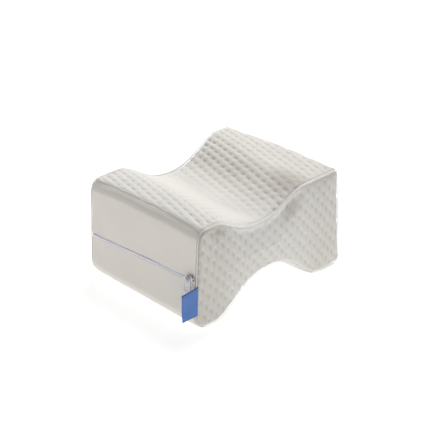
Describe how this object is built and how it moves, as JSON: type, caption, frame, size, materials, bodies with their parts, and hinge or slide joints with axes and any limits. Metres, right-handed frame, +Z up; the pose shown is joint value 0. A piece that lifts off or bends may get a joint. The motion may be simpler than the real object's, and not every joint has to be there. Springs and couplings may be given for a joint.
{
  "type": "knee pillow",
  "caption": "Hourglass foam pillow in a quilted knit cover, with a saddle on top, an arch below and a zipped end panel, worn between the knees of a side sleeper.",
  "frame": {"origin": "middle of the footprint of the whole pillow with its label, on the surface that it rests on", "axes": "+X along the hourglass section, away from the zipped end; +Y across the pillow, away from the labelled side; +Z up"},
  "size_m": [0.2816, 0.205, 0.1427],
  "materials": {
    "quilted_knit": "soft ivory air-layer knit, quilted with small sewn-in dimples",
    "smooth_knit": "plain ivory jersey knit",
    "seam_welt": "narrow pale seam welt",
    "zip_chain": "pale nylon coil",
    "zip_metal": "worn plated zinc",
    "label_ribbon": "blank blue woven satin ribbon"
  },
  "bodies": {
    "root": {"pillow_body": "quilted_knit", "end_panel_lower": "smooth_knit", "end_panel_upper": "smooth_knit", "seam_welt_front": "seam_welt", "seam_welt_back": "seam_welt", "zip_chain": "zip_chain", "zip_slider": "zip_metal", "zip_pull": "zip_metal", "label": "label_ribbon"}
  },
  "joints": []
}
